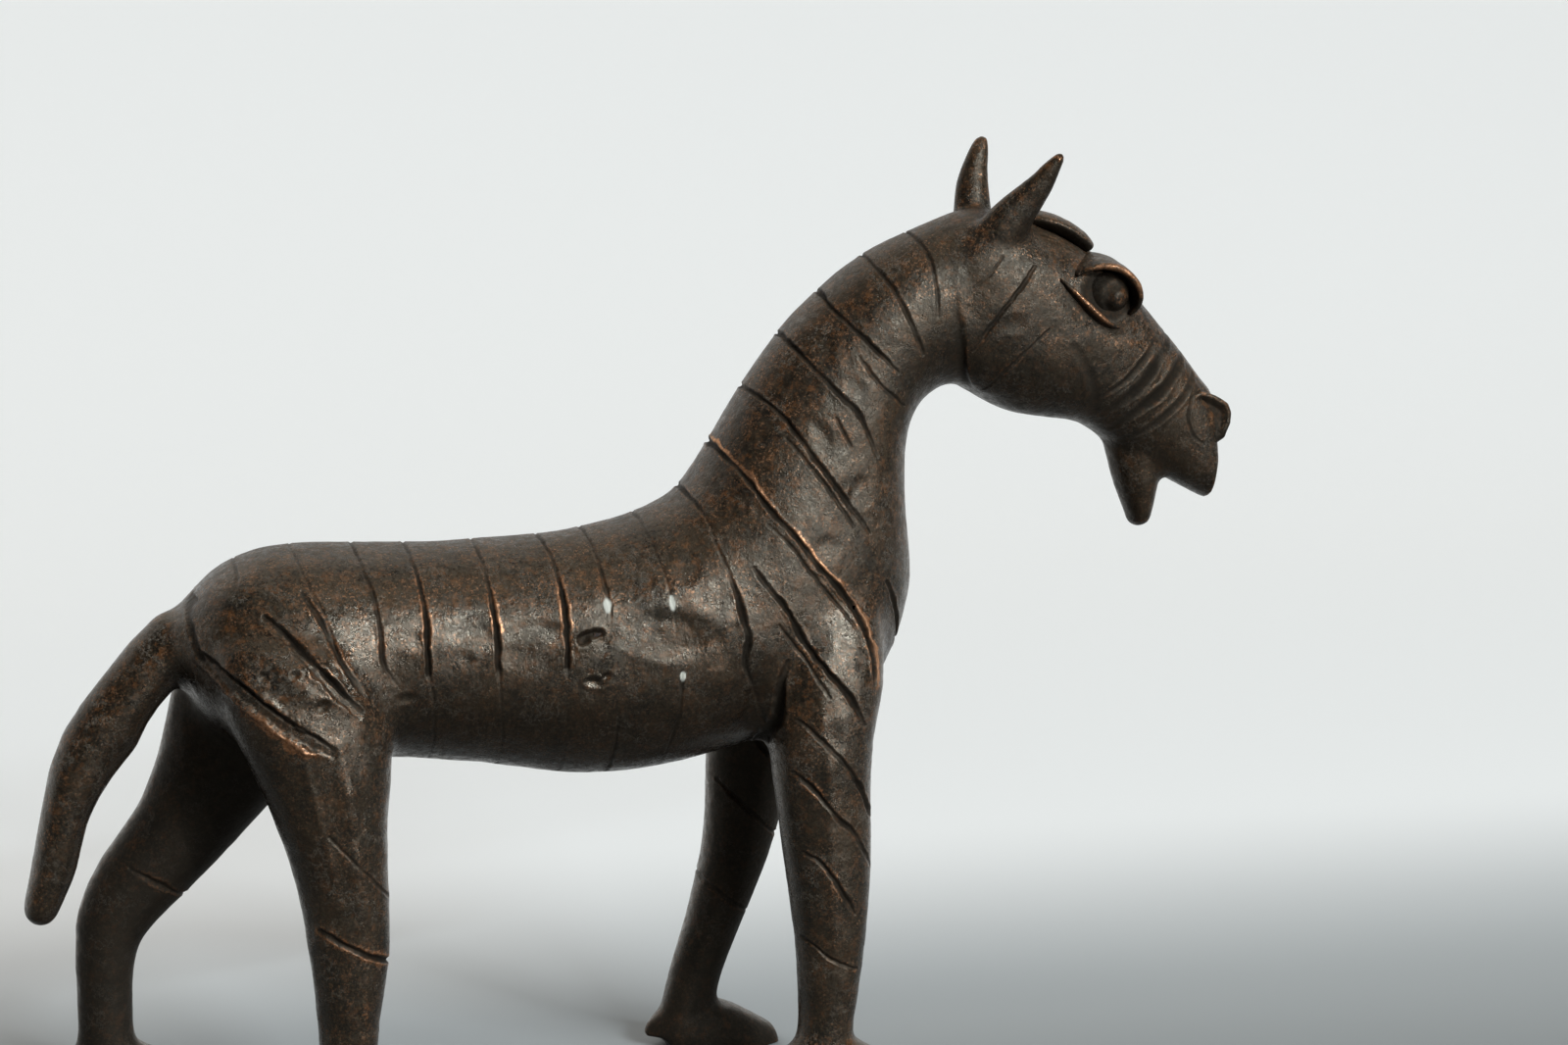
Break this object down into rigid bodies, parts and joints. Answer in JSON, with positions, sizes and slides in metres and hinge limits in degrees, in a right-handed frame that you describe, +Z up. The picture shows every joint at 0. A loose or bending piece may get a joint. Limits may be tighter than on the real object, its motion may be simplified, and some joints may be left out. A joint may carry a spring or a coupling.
{
  "type": "horse statuette",
  "caption": "Small cast horse figure in a slow walk: long barrel, arched neck, pricked ears, open mouth and hanging tail, standing on four flat-soled hooves.",
  "frame": {"origin": "on the ground plane under the middle of the bounding box", "axes": "+X towards the nose, +Y to the horse's left, +Z up"},
  "size_m": [0.1805, 0.0394, 0.1383],
  "materials": {
    "bronze": "dark waxed bronze patina",
    "worn_bronze": "dark bronze patina rubbed through on its edges",
    "fired_clay": "coarse unglazed fired clay",
    "iron": "blackened iron"
  },
  "bodies": {
    "root": {"barrel": "bronze", "clay_core": "fired_clay", "core_pin_front_left": "iron", "core_pin_front_right": "iron", "core_pin_rear_left": "iron", "core_pin_rear_right": "iron", "neck_and_chest": "bronze", "head": "bronze", "lower_jaw": "worn_bronze", "forelock": "bronze", "ear_left": "worn_bronze", "ear_right": "worn_bronze", "upper_eyelid_left": "worn_bronze", "upper_eyelid_right": "worn_bronze", "lower_eyelid_left": "worn_bronze", "lower_eyelid_right": "worn_bronze", "eyeball_left": "bronze", "eyeball_right": "bronze", "nostril_left": "worn_bronze", "nostril_right": "worn_bronze", "front_leg_left": "bronze", "front_leg_right": "bronze", "hind_leg_left": "bronze", "hind_leg_right": "bronze", "hoof_front_left": "bronze", "hoof_front_right": "bronze", "hoof_hind_left": "bronze", "hoof_hind_right": "bronze", "tail": "bronze"}
  },
  "joints": []
}
